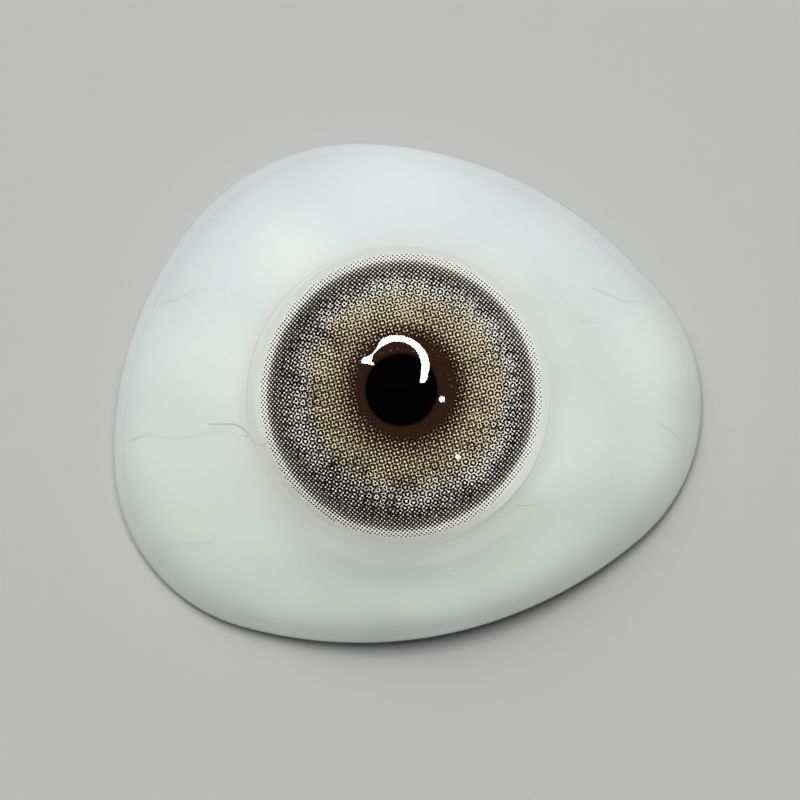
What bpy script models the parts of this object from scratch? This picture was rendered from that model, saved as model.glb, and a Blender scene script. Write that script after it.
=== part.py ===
"""Custom ocular prosthesis: a white acrylic shell with a printed iris under a clear domed front.

Metres. +Z points out of the front of the eye, +X to the narrow end and +Y to the upper lid.
The origin is the middle of the outline, level with the three lowest points of the rim.
"""
import math

import bmesh
import bpy

# Outline seen from the front: three corner arcs, each pair joined by a wider side arc
NARROW_END_X = 0.0050
NARROW_END_Y = -0.0005
NARROW_END_RADIUS = 0.0074
UPPER_CORNER_X = -0.0021
UPPER_CORNER_Y = 0.0015
UPPER_CORNER_RADIUS = 0.0090
LOWER_CORNER_X = -0.0051
LOWER_CORNER_Y = -0.0028
LOWER_CORNER_RADIUS = 0.0073
UPPER_RIGHT_SIDE_RADIUS = 0.0170
LEFT_SIDE_RADIUS = 0.0154
LOWER_SIDE_RADIUS = 0.0185

# Height of the rim over the surface it rests on: level at three corners, arched between them
UPPER_ARCH = 0.0014
LEFT_ARCH = 0.0004
LOWER_ARCH = 0.0016
UPPER_ARCH_AZIMUTH = math.radians(75)
UPPER_FOOT_AZIMUTH = math.radians(142)
LEFT_ARCH_AZIMUTH = math.radians(178)
LOWER_FOOT_AZIMUTH = math.radians(214)
LOWER_ARCH_AZIMUTH = math.radians(285)

# Section of the clear outer face, from the apex of the cornea to the rim
TOTAL_HEIGHT = 0.0084
IRIS_AXIS_X = -0.00022
IRIS_AXIS_Y = -0.00009
CORNEA_RADIUS = 0.0096
CORNEA_EDGE = 0.0054
LIMBUS_EDGE = 0.0070
LIMBUS_SLOPE = math.radians(26)
RIM_SLOPE = math.radians(58)
RIM_RADIUS = 0.0007
VAULT_HEIGHT = 0.0042

# Clear front over the white body, and the cement line between them
CLEAR_THICKNESS = 0.00045
CLEAR_LIP_THICKNESS = 0.00015
CLEAR_EDGE_SETBACK = 0.00045
BOND_LINE = 0.00012

# Printed iris film and the black pupil on it
IRIS_DEPTH = 0.0030
FILM_RADIUS = 0.0060
FILM_THICKNESS = 0.00015
PRINT_RADIUS = 0.00564
LIMBAL_RING_OUTER = 0.0052
LIMBAL_RING_INNER = 0.0044
TAN_FIELD_RADIUS = 0.0033
BROWN_FIELD_RADIUS = 0.0019
PUPIL_RADIUS = 0.00133
PUPIL_THICKNESS = 0.00008
PUPIL_OFFSET_X = -0.00004
PUPIL_OFFSET_Y = 0.00022

# Fine threads laid on the white body as veins. Each point is a direction from the iris axis in
# degrees, and the share of the way from the iris pocket to the lip of the clear front.
THREAD_RADIUS = 0.00003
THREAD_ROUTES = (
    ((189.8, 0.96), (189.3, 0.90), (188.8, 0.81), (189.8, 0.70), (191.3, 0.55), (191.0, 0.42),
     (191.1, 0.26), (193.2, 0.12)),
    ((188.6, 0.33), (189.1, 0.24), (190.3, 0.125), (193.9, 0.055), (197.3, 0.035)),
    ((159.6, 0.96), (158.5, 0.90), (156.9, 0.82), (154.5, 0.75), (152.2, 0.65), (149.9, 0.52)),
    ((211.6, 0.96), (212.4, 0.92), (213.3, 0.84), (215.7, 0.71), (217.8, 0.60)),
    ((29.8, 0.59), (26.2, 0.67), (23.1, 0.75), (21.2, 0.89)),
    ((22.9, 0.33), (21.2, 0.40), (19.9, 0.47)),
    ((315.9, 0.07), (318.8, 0.15), (321.4, 0.22)),
    ((353.9, 0.74), (352.1, 0.88), (350.5, 0.95)),
)

# Mesh fineness
MERIDIANS = 72
CORNEA_RINGS = 6
LIMBUS_RINGS = 2
SCLERA_RINGS = 7
VAULT_RINGS = 8
RIM_RINGS_BELOW = 4
DISC_SIDES = 72
THREAD_STEPS = 3
THREAD_BEVEL_STEPS = 1
TANGENT_PASSES = 8
SMOOTH_ANGLE = math.radians(35)

FULL_TURN = 2 * math.pi


def clear_scene():
    for item in list(bpy.data.objects):
        bpy.data.objects.remove(item, do_unlink=True)


def acrylic(name, colour, roughness, transmission=0.0):
    """A Principled material, see-through where transmission is 1."""
    material = bpy.data.materials.new(name)
    material.use_nodes = True
    shader = material.node_tree.nodes["Principled BSDF"]
    shader.inputs["Base Color"].default_value = (*colour, 1.0)
    shader.inputs["Roughness"].default_value = roughness
    shader.inputs["Metallic"].default_value = 0.0
    shader.inputs["Transmission Weight"].default_value = transmission
    shader.inputs["IOR"].default_value = 1.49
    return material


def side_centre(first, second, radius):
    """Centre of the wide arc that touches two corner arcs on its inside, anticlockwise."""
    span_x = second[0] - first[0]
    span_y = second[1] - first[1]
    span = math.hypot(span_x, span_y)
    reach_first = radius - first[2]
    reach_second = radius - second[2]
    along = (span ** 2 + reach_first ** 2 - reach_second ** 2) / (2 * span)
    across = math.sqrt(reach_first ** 2 - along ** 2)
    unit_x = span_x / span
    unit_y = span_y / span
    return (first[0] + unit_x * along - unit_y * across, first[1] + unit_y * along + unit_x * across)


def outline_arcs():
    """The outline as (centre x, centre y, radius, first normal, last normal), anticlockwise."""
    corners = (
        (NARROW_END_X, NARROW_END_Y, NARROW_END_RADIUS),
        (UPPER_CORNER_X, UPPER_CORNER_Y, UPPER_CORNER_RADIUS),
        (LOWER_CORNER_X, LOWER_CORNER_Y, LOWER_CORNER_RADIUS),
    )
    radii = (UPPER_RIGHT_SIDE_RADIUS, LEFT_SIDE_RADIUS, LOWER_SIDE_RADIUS)
    arcs = []
    for index, corner in enumerate(corners):
        following = corners[(index + 1) % 3]
        centre = side_centre(corner, following, radii[index])
        leaves = math.atan2(corner[1] - centre[1], corner[0] - centre[0]) % FULL_TURN
        meets = math.atan2(following[1] - centre[1], following[0] - centre[0]) % FULL_TURN
        arcs.append([*corner, None, leaves])
        arcs.append([*centre, radii[index], leaves, meets])
    for index in (0, 2, 4):
        arcs[index][3] = arcs[index - 1][4]
    middle_x = (normal_point(arcs, 0)[0] + normal_point(arcs, math.pi)[0]) / 2
    middle_y = (normal_point(arcs, math.pi / 2)[1] + normal_point(arcs, 3 * math.pi / 2)[1]) / 2
    return [(arc[0] - middle_x, arc[1] - middle_y, *arc[2:]) for arc in arcs]


def in_span(angle, first, last):
    return (angle - first) % FULL_TURN <= (last - first) % FULL_TURN


def normal_point(arcs, normal):
    """The outline's point whose outward normal has this direction."""
    arc = next(arc for arc in arcs if in_span(normal, arc[3], arc[4]))
    return (arc[0] + arc[2] * math.cos(normal), arc[1] + arc[2] * math.sin(normal))


ARCS = outline_arcs()


def edge_towards(azimuth):
    """Distance from the iris axis to the outline in a direction."""
    unit_x = math.cos(azimuth)
    unit_y = math.sin(azimuth)
    best = None
    for centre_x, centre_y, radius, first, last in ARCS:
        gap_x = centre_x - IRIS_AXIS_X
        gap_y = centre_y - IRIS_AXIS_Y
        along = gap_x * unit_x + gap_y * unit_y
        across = gap_x * unit_y - gap_y * unit_x
        distance = along + math.sqrt(radius ** 2 - across ** 2)
        normal = math.atan2(IRIS_AXIS_Y + distance * unit_y - centre_y,
                            IRIS_AXIS_X + distance * unit_x - centre_x) % FULL_TURN
        outside = min((first - normal) % FULL_TURN, (normal - last) % FULL_TURN)
        miss = 0.0 if in_span(normal, first, last) else outside
        if best is None or miss < best[0]:
            best = (miss, distance)
    return best[1]


def rim_lift(azimuth):
    """Height of the rim's lowest line, from each foot or arch to the next with level ends."""
    stops = (
        (0.0, 0.0),
        (UPPER_ARCH_AZIMUTH, UPPER_ARCH),
        (UPPER_FOOT_AZIMUTH, 0.0),
        (LEFT_ARCH_AZIMUTH, LEFT_ARCH),
        (LOWER_FOOT_AZIMUTH, 0.0),
        (LOWER_ARCH_AZIMUTH, LOWER_ARCH),
        (FULL_TURN, 0.0),
    )
    azimuth %= FULL_TURN
    for (start, low), (end, high) in zip(stops, stops[1:]):
        if azimuth <= end:
            share = (1 - math.cos(math.pi * (azimuth - start) / (end - start))) / 2
            return low + (high - low) * share
    return 0.0


class Meridian:
    """One radial section of the shell, from the iris axis to the rim."""

    def __init__(self, azimuth):
        self.azimuth = azimuth
        reach = edge_towards(azimuth)
        self.rim_r = reach - RIM_RADIUS
        self.rim_z = rim_lift(azimuth) + RIM_RADIUS
        self.front_r = self.rim_r + RIM_RADIUS * math.sin(RIM_SLOPE)
        self.front_z = self.rim_z + RIM_RADIUS * math.cos(RIM_SLOPE)
        self.clear_edge = reach - CLEAR_EDGE_SETBACK
        self.vault_slope = 0.0
        for _ in range(TANGENT_PASSES):
            start_r, start_z = self.rim(math.pi + self.vault_slope)
            self.vault_slope = math.atan(2 * (VAULT_HEIGHT - start_z) / start_r)

    def point(self, radius, height):
        return (IRIS_AXIS_X + radius * math.cos(self.azimuth),
                IRIS_AXIS_Y + radius * math.sin(self.azimuth), height)

    def outer(self, radius):
        """Height and downward gradient of the outer face."""
        edge_drop = CORNEA_RADIUS - math.sqrt(CORNEA_RADIUS ** 2 - CORNEA_EDGE ** 2)
        edge_gradient = CORNEA_EDGE / math.sqrt(CORNEA_RADIUS ** 2 - CORNEA_EDGE ** 2)
        limbus_gradient = math.tan(LIMBUS_SLOPE)
        if radius <= CORNEA_EDGE:
            root = math.sqrt(CORNEA_RADIUS ** 2 - radius ** 2)
            return TOTAL_HEIGHT - CORNEA_RADIUS + root, radius / root
        width = LIMBUS_EDGE - CORNEA_EDGE
        if radius <= LIMBUS_EDGE:
            step = radius - CORNEA_EDGE
            change = (limbus_gradient - edge_gradient) * step / width
            return TOTAL_HEIGHT - edge_drop - step * (edge_gradient + change / 2), edge_gradient + change
        start = TOTAL_HEIGHT - edge_drop - width * (edge_gradient + limbus_gradient) / 2
        span = self.front_r - LIMBUS_EDGE
        t = (radius - LIMBUS_EDGE) / span
        fall = start - self.front_z
        first = limbus_gradient * span
        last = math.tan(RIM_SLOPE) * span
        square = 3 * fall - 2 * first - last
        cube = first + last - 2 * fall
        height = start - t * (first + t * (square + t * cube))
        return height, (first + t * (2 * square + t * 3 * cube)) / span

    def under(self, radius, gap):
        """Height of the clear front's inner face, or of what lies a gap below it."""
        height, gradient = self.outer(radius)
        share = max(0.0, (radius - LIMBUS_EDGE) / (self.clear_edge - LIMBUS_EDGE))
        clear = CLEAR_THICKNESS + (CLEAR_LIP_THICKNESS - CLEAR_THICKNESS) * share ** 2
        return height - (clear + gap) * math.sqrt(1 + gradient ** 2)

    def rim(self, slope):
        """The rounded rim's point whose normal leans this far from straight up."""
        return self.rim_r + RIM_RADIUS * math.sin(slope), self.rim_z + RIM_RADIUS * math.cos(slope)

    def vault(self, share):
        """The hollow back: a parabola, level over the iris axis, that leaves the rim on its tangent."""
        start_r, start_z = self.rim(math.pi + self.vault_slope)
        return start_r * share, VAULT_HEIGHT - (VAULT_HEIGHT - start_z) * share ** 2


def evenly(first, last, count):
    """count values after first, up to and including last."""
    return [first + (last - first) * (index + 1) / count for index in range(count)]


def pocket_radius():
    return FILM_RADIUS + BOND_LINE


def film_top():
    return TOTAL_HEIGHT - IRIS_DEPTH


def body_section(meridian):
    """White body: pocket floor and wall, front, shoulder, rim and vault, as (radius, height)."""
    floor = film_top() - FILM_THICKNESS - BOND_LINE
    shoulder = meridian.clear_edge + BOND_LINE
    section = [(pocket_radius(), floor)]
    for radius in [pocket_radius(), LIMBUS_EDGE] + evenly(LIMBUS_EDGE, shoulder, SCLERA_RINGS):
        section.append((radius, meridian.under(radius, BOND_LINE)))
    for radius in (shoulder, (shoulder + meridian.front_r) / 2, meridian.front_r):
        section.append((radius, meridian.outer(radius)[0]))
    section.append(meridian.rim((RIM_SLOPE + math.pi / 2) / 2))
    section.append(meridian.rim(math.pi / 2))
    for slope in evenly(math.pi / 2, math.pi, RIM_RINGS_BELOW):
        section.append(meridian.rim(slope))
    section.append(meridian.rim(math.pi + meridian.vault_slope / 2))
    for share in evenly(1.0 + 1.0 / VAULT_RINGS, 1.0 / VAULT_RINGS, VAULT_RINGS):
        section.append(meridian.vault(share))
    return section


def clear_section(meridian):
    """Clear front: outer face from the cornea to the lip, then its inner face back to the iris."""
    section = []
    rings = evenly(0.0, CORNEA_EDGE, CORNEA_RINGS) + evenly(CORNEA_EDGE, LIMBUS_EDGE, LIMBUS_RINGS)
    rings += evenly(LIMBUS_EDGE, meridian.clear_edge, SCLERA_RINGS)
    for radius in rings:
        section.append((radius, meridian.outer(radius)[0]))
    inner = [pocket_radius(), LIMBUS_EDGE] + evenly(LIMBUS_EDGE, meridian.clear_edge, SCLERA_RINGS)
    for radius in reversed(inner):
        section.append((radius, meridian.under(radius, 0.0)))
    section.append((FILM_RADIUS - BOND_LINE, clear_underside()))
    return section


def clear_underside():
    return film_top() + PUPIL_THICKNESS + 2 * BOND_LINE


def section_azimuths():
    """Directions from the iris axis to points of the outline whose normals are evenly spaced."""
    azimuths = []
    for index in range(MERIDIANS):
        x, y = normal_point(ARCS, FULL_TURN * index / MERIDIANS)
        azimuths.append(math.atan2(y - IRIS_AXIS_Y, x - IRIS_AXIS_X))
    return azimuths


def add_object(name, mesh, material):
    item = bpy.data.objects.new(name, mesh)
    mesh.materials.append(material)
    bpy.context.collection.objects.link(item)
    return item


def loft(name, section, start_height, end_height, material):
    """A closed solid through one section per meridian, closed by a point on the axis at each end."""
    shape = bmesh.new()
    columns = []
    for azimuth in section_azimuths():
        meridian = Meridian(azimuth)
        columns.append([shape.verts.new(meridian.point(*place)) for place in section(meridian)])
    start = shape.verts.new((IRIS_AXIS_X, IRIS_AXIS_Y, start_height))
    end = shape.verts.new((IRIS_AXIS_X, IRIS_AXIS_Y, end_height))
    for column, following in zip(columns, columns[1:] + columns[:1]):
        shape.faces.new((start, column[0], following[0]))
        for ring in range(len(column) - 1):
            shape.faces.new((column[ring], column[ring + 1], following[ring + 1], following[ring]))
        shape.faces.new((column[-1], end, following[-1]))
    bmesh.ops.recalc_face_normals(shape, faces=shape.faces)
    mesh = bpy.data.meshes.new(name)
    shape.to_mesh(mesh)
    shape.free()
    mesh.shade_smooth()
    mesh.set_sharp_from_angle(angle=SMOOTH_ANGLE)
    return add_object(name, mesh, material)


def disc(name, fields, thickness, centre):
    """A flat round disc whose underside is at the centre's height, with rings of colour on its top.

    Each field is an outer radius and a material, from the middle outwards.
    """
    shape = bmesh.new()
    bottom = [shape.verts.new((*turned(fields[-1][0], step), -thickness / 2)) for step in range(DISC_SIDES)]
    shape.faces.new(reversed(bottom)).material_index = len(fields) - 1
    rings = [bottom]
    for radius, _ in reversed(fields):
        rings.append([shape.verts.new((*turned(radius, step), thickness / 2)) for step in range(DISC_SIDES)])
    for index, (outer, inner) in enumerate(zip(rings, rings[1:])):
        for step in range(DISC_SIDES):
            corners = (outer[step - 1], outer[step], inner[step], inner[step - 1])
            shape.faces.new(corners).material_index = min(len(fields) - index, len(fields) - 1)
    shape.faces.new(rings[-1]).material_index = 0
    mesh = bpy.data.meshes.new(name)
    shape.to_mesh(mesh)
    shape.free()
    mesh.shade_smooth()
    mesh.set_sharp_from_angle(angle=SMOOTH_ANGLE)
    item = bpy.data.objects.new(name, mesh)
    for _, material in fields:
        mesh.materials.append(material)
    bpy.context.collection.objects.link(item)
    item.location = (centre[0], centre[1], centre[2] + thickness / 2)
    return item


def turned(radius, step):
    angle = FULL_TURN * step / DISC_SIDES
    return (radius * math.cos(angle), radius * math.sin(angle))


def smooth_route(points, steps):
    """Points along a smooth curve through the given ones."""
    padded = [points[0], *points, points[-1]]
    route = []
    for before, start, end, after in zip(padded, padded[1:], padded[2:], padded[3:]):
        for step in range(steps):
            t = step / steps
            place = []
            for a, b, c, d in zip(before, start, end, after):
                place.append(b + t * ((c - a) + t * ((2 * a - 5 * b + 4 * c - d)
                                                    + t * (3 * b - a - 3 * c + d))) / 2)
            route.append(tuple(place))
    route.append(points[-1])
    return route


def thread(name, points, material):
    """A fine thread in the middle of the cement line, following the white body's front."""
    curve = bpy.data.curves.new(name, "CURVE")
    curve.dimensions = "3D"
    curve.bevel_depth = THREAD_RADIUS
    curve.bevel_resolution = THREAD_BEVEL_STEPS
    curve.use_fill_caps = True
    route = smooth_route(points, THREAD_STEPS)
    spline = curve.splines.new("POLY")
    spline.points.add(len(route) - 1)
    for knot, (degrees, share) in zip(spline.points, route):
        meridian = Meridian(math.radians(degrees))
        radius = pocket_radius() + (meridian.clear_edge - pocket_radius()) * share
        knot.co = (*meridian.point(radius, meridian.under(radius, BOND_LINE / 2)), 1.0)
    return add_object(name, curve, material)


def iris_fields():
    """The print's fields of colour: brown round the pupil, tan, grey, a dark ring and a pale edge."""
    return (
        (BROWN_FIELD_RADIUS, acrylic("iris_brown", (0.033, 0.015, 0.009), 0.45)),
        (TAN_FIELD_RADIUS, acrylic("iris_tan", (0.15, 0.12, 0.08), 0.45)),
        (LIMBAL_RING_INNER, acrylic("iris_grey", (0.20, 0.19, 0.15), 0.45)),
        (LIMBAL_RING_OUTER, acrylic("iris_dark_ring", (0.10, 0.095, 0.08), 0.45)),
        (PRINT_RADIUS, acrylic("iris_pale_edge", (0.36, 0.36, 0.33), 0.45)),
        (FILM_RADIUS, acrylic("film_margin", (0.62, 0.66, 0.62), 0.45)),
    )


def build():
    clear_scene()
    white = acrylic("white_acrylic", (0.74, 0.77, 0.75), 0.25)
    clear = acrylic("clear_acrylic", (1.0, 1.0, 1.0), 0.02, transmission=1.0)
    black = acrylic("pupil_black", (0.004, 0.004, 0.004), 0.4)
    fibre = acrylic("vein_fibre", (0.42, 0.33, 0.32), 0.6)
    loft("scleral_body", body_section, film_top() - FILM_THICKNESS - BOND_LINE, VAULT_HEIGHT, white)
    loft("clear_front", clear_section, TOTAL_HEIGHT, clear_underside(), clear)
    disc("iris_film", iris_fields(), FILM_THICKNESS,
         (IRIS_AXIS_X, IRIS_AXIS_Y, film_top() - FILM_THICKNESS))
    disc("pupil_disc", ((PUPIL_RADIUS, black),), PUPIL_THICKNESS,
         (IRIS_AXIS_X + PUPIL_OFFSET_X, IRIS_AXIS_Y + PUPIL_OFFSET_Y, film_top() + BOND_LINE))
    for index, points in enumerate(THREAD_ROUTES, start=1):
        thread(f"vein_thread_{index}", points, fibre)


build()
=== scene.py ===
"""The looks of the ocular prosthesis: white acrylic, a dot-printed iris and a clear polished front.

Metres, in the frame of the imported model: +Z out of the front of the eye, +Y to the upper lid. The
materials count in millimetres, those of the white and the print from the iris axis. A smooth step is
given as (from, to, value before, value after), or as (from, to) where it goes from 0 to 1. Noise is
given as (features per millimetre, detail), with its roughness after them where that is not 0.5.
"""
import math

import bmesh
import bpy
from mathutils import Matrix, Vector


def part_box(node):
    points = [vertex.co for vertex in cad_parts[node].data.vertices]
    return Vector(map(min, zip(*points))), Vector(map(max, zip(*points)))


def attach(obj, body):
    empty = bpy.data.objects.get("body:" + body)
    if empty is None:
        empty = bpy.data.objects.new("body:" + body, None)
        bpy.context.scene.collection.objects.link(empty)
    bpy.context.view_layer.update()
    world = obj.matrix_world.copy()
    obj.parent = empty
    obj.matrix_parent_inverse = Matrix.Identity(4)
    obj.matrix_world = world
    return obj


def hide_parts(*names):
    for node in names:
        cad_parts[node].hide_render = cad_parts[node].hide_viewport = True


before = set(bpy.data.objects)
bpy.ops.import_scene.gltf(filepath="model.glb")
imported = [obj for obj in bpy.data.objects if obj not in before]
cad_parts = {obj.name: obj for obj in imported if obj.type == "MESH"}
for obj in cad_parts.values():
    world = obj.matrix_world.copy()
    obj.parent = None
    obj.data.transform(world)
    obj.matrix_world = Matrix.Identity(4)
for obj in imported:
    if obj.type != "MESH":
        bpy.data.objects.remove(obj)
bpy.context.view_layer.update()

FILM_LOW, FILM_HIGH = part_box("iris_film")
IRIS_AXIS_X = (FILM_LOW.x + FILM_HIGH.x) / 2
IRIS_AXIS_Y = (FILM_LOW.y + FILM_HIGH.y) / 2
FILM_TOP = FILM_HIGH.z
FILM_RADIUS = (FILM_HIGH.x - FILM_LOW.x) / 2
PUPIL_LOW, PUPIL_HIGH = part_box("pupil_disc")
PUPIL_X = (PUPIL_LOW.x + PUPIL_HIGH.x) / 2
PUPIL_Y = (PUPIL_LOW.y + PUPIL_HIGH.y) / 2
TOTAL_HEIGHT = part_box("clear_front")[1].z

# Outline seen from the front: three corner arcs, each pair joined by a wider side arc
NARROW_END = (0.0050, -0.0005, 0.0074)
UPPER_CORNER = (-0.0021, 0.0015, 0.0090)
LOWER_CORNER = (-0.0051, -0.0028, 0.0073)
SIDE_RADII = (0.0170, 0.0154, 0.0185)

# Height of the rim over the surface it rests on, as (direction, height)
RIM_STOPS = (
    (0.0, 0.0),
    (math.radians(75), 0.0014),
    (math.radians(142), 0.0),
    (math.radians(178), 0.0004),
    (math.radians(214), 0.0),
    (math.radians(285), 0.0016),
    (2 * math.pi, 0.0),
)

# Section from the apex of the cornea to the rim, and the hollow back
CORNEA_RADIUS = 0.0096
CORNEA_EDGE = 0.0054
LIMBUS_EDGE = 0.0070
LIMBUS_SLOPE = math.radians(26)
RIM_SLOPE = math.radians(58)
RIM_RADIUS = 0.0007
VAULT_HEIGHT = 0.0042
CLEAR_EDGE_SETBACK = 0.00045
CEMENT_LINE = 0.00012
POCKET_RADIUS = FILM_RADIUS + CEMENT_LINE

# The real shell has no cement line: the white starts at the film's edge, flush with it, and thins the
# clear to nothing at its lip. The film reaches a little into the white, and so does the clear's inner face.
FILM_SINK = 0.00001
CLEAR_SINK = 0.00004
POCKET_WALL = FILM_RADIUS - FILM_SINK

# Veins, as (direction in degrees, share of the way from the iris pocket to the clear lip). The one numbered
# DARK_HAIR, counted from 1, is darker than the rest.
THREAD_ROUTES = (
    ((189.8, 0.96), (189.3, 0.90), (188.8, 0.81), (189.8, 0.70), (191.3, 0.55), (191.0, 0.42),
     (191.1, 0.26), (193.2, 0.12)),
    ((188.6, 0.33), (189.1, 0.24), (190.3, 0.125), (193.9, 0.055), (197.3, 0.035), (199.8, -0.01),
     (199.5, -0.04), (199.0, -0.055)),
    ((159.6, 0.96), (158.5, 0.90), (156.9, 0.82), (154.5, 0.75), (152.2, 0.65), (149.9, 0.52)),
    ((211.6, 0.96), (212.4, 0.92), (213.3, 0.84), (215.7, 0.71), (217.8, 0.60)),
    ((29.8, 0.59), (26.2, 0.67), (23.1, 0.75), (21.2, 0.89)),
    ((22.9, 0.33), (21.2, 0.40), (19.9, 0.47)),
    ((315.9, 0.07), (318.8, 0.15), (321.4, 0.22)),
    ((353.9, 0.74), (352.1, 0.88), (350.5, 0.95)),
)
DARK_HAIR = 2
THREAD_RADIUS = 0.000020
THREAD_TIP_RADIUS = 0.000008
THREAD_STEPS = 8

# Air bubbles under the polished face, as (x, y, depth, radius)
BUBBLES = (
    (-0.00664, -0.00180, 0.00024, 0.000046),
    (-0.00684, -0.00181, 0.00024, 0.000036),
    (-0.00642, 0.00905, 0.00020, 0.000030),
    (0.00846, -0.00352, 0.00022, 0.000028),
)

# Mesh fineness
MERIDIANS = 288
CORNEA_RINGS = 40
LIMBUS_RINGS = 14
SCLERA_RINGS = 40
RIM_RINGS = 14
VAULT_RINGS = 26
FLOOR_RINGS = 3
LIP_RINGS = 3
FIRST_BARE_RING = FLOOR_RINGS + LIMBUS_RINGS + SCLERA_RINGS
TANGENT_PASSES = 8
BUBBLE_SEGMENTS = 24
BUBBLE_RINGS = 16
THREAD_BEVEL_STEPS = 3
SHARP_ANGLE = math.radians(35)

# Camera: straight over the shell, as far off as a close-up lens stands
CAMERA_HEIGHT = 0.270
VIEW_WIDTH = 0.03376
VIEW_LEVEL = 0.0007
VIEW_CENTRE_X = -0.00032
VIEW_CENTRE_Y = -0.00030
SENSOR_WIDTH = 36.0
CAMERA_CLIP = (0.01, 10.0)

# Ring lamp, given by its mirror image in the cornea: centre from the iris axis, then its stations
# as (direction in degrees, inner radius, outer radius)
LAMP_HEIGHT = 1.5
LAMP_IMAGE_X = -0.00020
LAMP_IMAGE_Y = 0.001025
LAMP_STATIONS = (
    (-29, 0.00105, 0.00112),
    (-24, 0.00101, 0.00125),
    (-20, 0.00098, 0.00126),
    (-5, 0.00096, 0.00128),
    (22, 0.00102, 0.00136),
    (46, 0.00110, 0.00139),
    (76, 0.00117, 0.00141),
    (106, 0.00117, 0.00144),
    (118, 0.00114, 0.00141),
    (127, 0.00115, 0.00130),
    (136, 0.00115, 0.00123),
    (148, 0.00117, 0.00124),
    (154, 0.00116, 0.00132),
    (160, 0.00112, 0.00148),
    (166, 0.00102, 0.00155),
    (169, 0.00096, 0.00150),
)
LAMP_STEP = 3

# Small round lamps, given by their mirror images too, as (x, y, radius) from the iris axis
SPOT_IMAGES = (
    (0.00162, -0.00018, 0.000125),
    (0.00228, -0.00254, 0.000095),
    (0.00154, -0.00553, 0.000040),
)
SPOT_SIDES = 16
LAMP_RADIANCE = 10.5
LAMP_COLOUR = (1.0, 0.985, 0.97)

# Soft lamps that the polished front does not mirror: one behind the ring lamp, which makes up the key
# level, and one off to the upper left. A level of 1 shows a flat white as white.
KEY_LEVEL = 0.82
KEY_SIZE = 0.45
FILL_PLACE = (-0.42, 0.75, 1.0)
FILL_SIZE = 0.7
FILL_LEVEL = 0.163
SOFT_LAMP_COLOUR = (1.0, 0.985, 0.965)

# World and floor. The world fades upwards from the horizon to where the sine of the height is FADED_AT.
WORLD_COLOUR = (0.95, 0.98, 1.0)
HORIZON_LEVEL = 0.55
OVERHEAD_LEVEL = 0.003
FADED_AT = 0.55
FLOOR_HALF_WIDTH = 0.8
FLOOR_COLOUR = (0.50, 0.51, 0.51)

# Acrylic: its refraction, the coat over the cornea, and the low waves that hand polishing leaves, whose
# bumps are given as (distance in metres, strength)
ACRYLIC_IOR = 1.49
COAT_IOR = 1.8
COAT_STEP = (5.5, 7.5, 1.0, 0.0)
CLEAR_ROUGHNESS_NOISE = (3.0, 3.0)
CLEAR_ROUGHNESS_STEP = (-0.4, 0.6, 0.0, 0.012)
CLEAR_WAVE_NOISE = (0.5, 2.0)
CLEAR_WAVE_BUMP = (0.00001, 0.25)
WHITE_WAVE_NOISE = (1.3, 2.0)
WHITE_WAVE_BUMP = (0.00002, 0.3)

# Colours of the white acrylic, and of the shade and light painted on it
WHITE_BELOW = (0.712, 0.770, 0.718)
WHITE_ABOVE = (0.702, 0.779, 0.780)
PATCH_WHITE = (0.735, 0.765, 0.765)
GRAIN_WHITE = (0.60, 0.63, 0.62)
DARK_SPOT_AND_SHADE_WHITE = (0.40, 0.44, 0.44)
PALE_SPOT_AND_LIGHT_WHITE = (0.80, 0.86, 0.83)
LIMBUS_TINT_AND_SHADE = (0.655, 0.660, 0.600)
LOW_SHADE_WHITE = (0.30, 0.33, 0.33)
LIP_LIGHT_WHITE = (0.87, 0.90, 0.91)

# How the white varies: its drift from below to above, patches, grain, the warmer white beside the iris with
# painted shade on its lower left, painted shade low down near the floor, painted light on the bare lip, and
# how far light scatters in it
CLOUD_NOISE = (0.22, 3.0)
DRIFT_WAY = (-0.1, 1.0, 0.0)
DRIFT_BY_CLOUDS = 5.0
DRIFT_STEP = (-9.0, 9.0)
PATCH_NOISE = (0.45, 2.0)
PATCH_OFFSET = (11.0, 3.0, 7.0)
PATCH_STEP = (0.0, 0.45, 0.0, 0.35)
GRAIN_NOISE = (9.0, 3.0, 0.7)
GRAIN_STEP = (-0.5, 0.5, 0.0, 0.04)
LIMBUS_RING_STEP = (6.15, 6.85, 1.0, 0.0)
LIMBUS_SHADE_WAY = (-0.09, -0.13, 0.0)
LIMBUS_SHADE_SIDE_STEP = (-0.6, 0.9, 0.1, 0.6)
LOW_SHADE_STEP = (0.6, 3.0, 0.16, 0.0)
LIP_LIGHT_SHARE = 0.11
LIP_GLOSS = 0.5
WHITE_ROUGHNESS_STEP = (-0.6, 0.6, 0.16, 0.24)
SCATTER_STEP = (6.0, 7.4, 0.0, 0.7)
SCATTER_REACH = (1.0, 0.85, 0.75)
SCATTER_SCALE = 0.0005
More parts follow.
